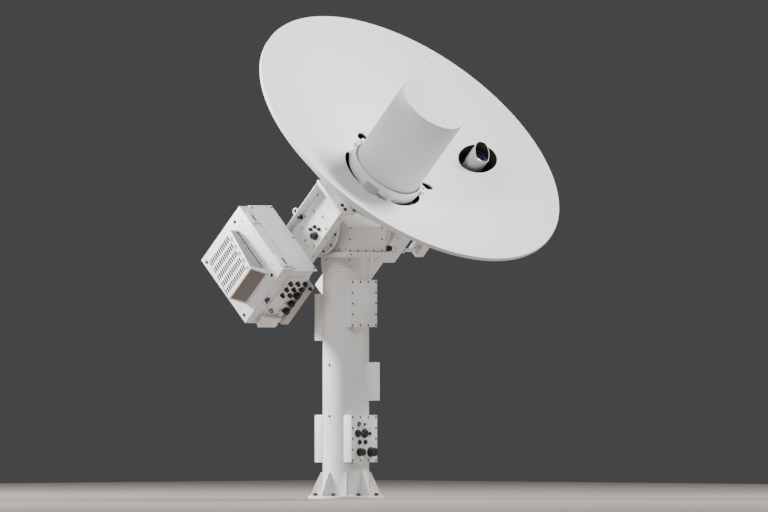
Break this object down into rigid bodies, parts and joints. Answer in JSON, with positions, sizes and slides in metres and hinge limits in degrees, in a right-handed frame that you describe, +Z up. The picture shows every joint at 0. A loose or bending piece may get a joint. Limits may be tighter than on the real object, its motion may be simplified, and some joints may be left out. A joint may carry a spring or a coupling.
{
  "type": "tracking dish antenna",
  "caption": "Azimuth-elevation tracking dish antenna on a bolted pedestal column, with a cylindrical feed radome, a boresight camera and an electronics case.",
  "frame": {"origin": "centre of the base flange's underside, on the column's axis", "axes": "+Z up the column; the dish faces -Y and up at 45 degrees; +X along the elevation axis, away from the electronics case"},
  "size_m": [2.4, 2.226, 3.3785],
  "materials": {
    "painted_steel": "satin off-white powder coat on steel",
    "painted_panel": "satin white powder coat on folded sheet",
    "dish_coat": "fine matt white coat on a moulded reflector",
    "radome_shell": "matt warm-grey moulded shell",
    "bearing_steel": "ground steel",
    "machined_aluminium": "machined aluminium",
    "motor_grey": "grey enamel",
    "black_plastic": "black moulded plastic",
    "green_plastic": "green gloss plastic",
    "lens_glass": "coated dark lens"
  },
  "bodies": {
    "pedestal": {"base_flange": "painted_steel", "column_tube": "painted_steel", "azimuth_collar": "painted_steel", "front_upper_box": "painted_panel", "front_upper_lid": "painted_panel", "front_lower_box": "painted_panel", "front_lower_lid": "painted_panel", "rear_upper_box": "painted_panel", "rear_upper_lid": "painted_panel", "rear_lower_box": "painted_panel", "rear_lower_lid": "painted_panel", "side_cover": "painted_panel", "power_connector_left": "black_plastic", "power_connector_right": "black_plastic", "azimuth_ring_gear": "bearing_steel", "slip_ring": "machined_aluminium"},
    "button": {"test_button": "green_plastic"},
    "toggle": {"toggle_lever": "bearing_steel"},
    "turntable": {"turntable_plate": "painted_steel", "azimuth_bearing_ring": "bearing_steel", "head_housing": "painted_steel", "head_front_cover": "painted_panel", "head_rear_cover": "painted_panel", "bearing_housing_left": "painted_steel", "bearing_housing_right": "painted_steel", "elevation_bearing_left": "bearing_steel", "elevation_bearing_right": "bearing_steel", "azimuth_motor": "motor_grey", "elevation_motor": "motor_grey"},
    "azimuth_drive_pinion": {"azimuth_pinion": "bearing_steel"},
    "elevation_drive_pinion": {"elevation_pinion": "bearing_steel"},
    "azimuth_lock": {"azimuth_lock_knob": "bearing_steel"},
    "tipping_frame": {"left_arm": "painted_steel", "right_arm": "painted_steel", "elevation_shaft": "painted_steel", "right_hub": "painted_steel", "elevation_gear": "bearing_steel", "dish_mount_plate": "painted_steel", "backing_frame": "painted_steel", "reflector": "dish_coat", "feed_radome": "radome_shell", "feed_clamp_ring": "painted_steel", "feed_horn": "machined_aluminium", "subreflector": "machined_aluminium", "camera_cup": "painted_steel", "camera_body": "machined_aluminium", "camera_lens": "lens_glass", "servo_box": "painted_panel", "outrigger": "painted_steel", "electronics_case": "painted_panel", "case_face_plate": "painted_panel", "case_bracket": "painted_steel", "power_amplifier": "machined_aluminium", "gland_plate": "painted_panel"},
    "elevation_lock": {"elevation_lock_knob": "black_plastic"},
    "lid": {"case_lid": "painted_panel", "vent_hood": "painted_panel", "fan_motor": "motor_grey"},
    "fan": {"fan_rotor": "black_plastic"},
    "latch": {"lid_latch": "black_plastic"}
  },
  "joints": [
    {"name": "azimuth", "type": "hinge", "parent": "pedestal", "child": "turntable", "pos_m": [0, 0, 1.6895], "axis": [0, 0, 1], "continuous": true},
    {"name": "elevation", "type": "hinge", "parent": "turntable", "child": "tipping_frame", "pos_m": [0, 0, 1.89], "axis": [-1, 0, 0], "range_deg": [-50, 50]},
    {"name": "azimuth_pinion_spin", "type": "hinge", "parent": "turntable", "child": "azimuth_drive_pinion", "pos_m": [0, 0.0905, 1.652], "axis": [0, 0, 1], "continuous": true},
    {"name": "elevation_pinion_spin", "type": "hinge", "parent": "turntable", "child": "elevation_drive_pinion", "pos_m": [0.0325, 0, 1.793], "axis": [-1, 0, 0], "range_deg": [-150, 150]},
    {"name": "azimuth_lock_pull", "type": "slide", "parent": "turntable", "child": "azimuth_lock", "axis": [0, 0, 1], "range_m": [0, 0.012], "stiffness_N_per_m": 500},
    {"name": "elevation_lock_pull", "type": "slide", "parent": "tipping_frame", "child": "elevation_lock", "axis": [-1, 0, 0], "range_m": [0, 0.012], "stiffness_N_per_m": 500},
    {"name": "lid_hinge", "type": "hinge", "parent": "tipping_frame", "child": "lid", "pos_m": [-0.6104, 0.09122, 1.79878], "axis": [0, 0.7071, 0.7071], "range_deg": [0, 110]},
    {"name": "latch_turn", "type": "hinge", "parent": "lid", "child": "latch", "pos_m": [-0.646, 0.13294, 1.39361], "axis": [0, 0.7071, 0.7071], "range_deg": [0, 90]},
    {"name": "fan_spin", "type": "hinge", "parent": "lid", "child": "fan", "pos_m": [-0.675, 0.33941, 1.63544], "axis": [1, 0, 0], "continuous": true},
    {"name": "button_press", "type": "slide", "parent": "pedestal", "child": "button", "axis": [0, 1, 0], "range_m": [0, 0.003], "stiffness_N_per_m": 600},
    {"name": "toggle_flip", "type": "hinge", "parent": "pedestal", "child": "toggle", "pos_m": [0.002, -0.1823, 0.5215], "axis": [1, 0, 0], "range_deg": [-14, 14]}
  ],
  "couplings": [
    {"joint": "azimuth_pinion_spin", "follows": "azimuth", "ratio": -4.125},
    {"joint": "elevation_pinion_spin", "follows": "elevation", "ratio": -2.94}
  ]
}
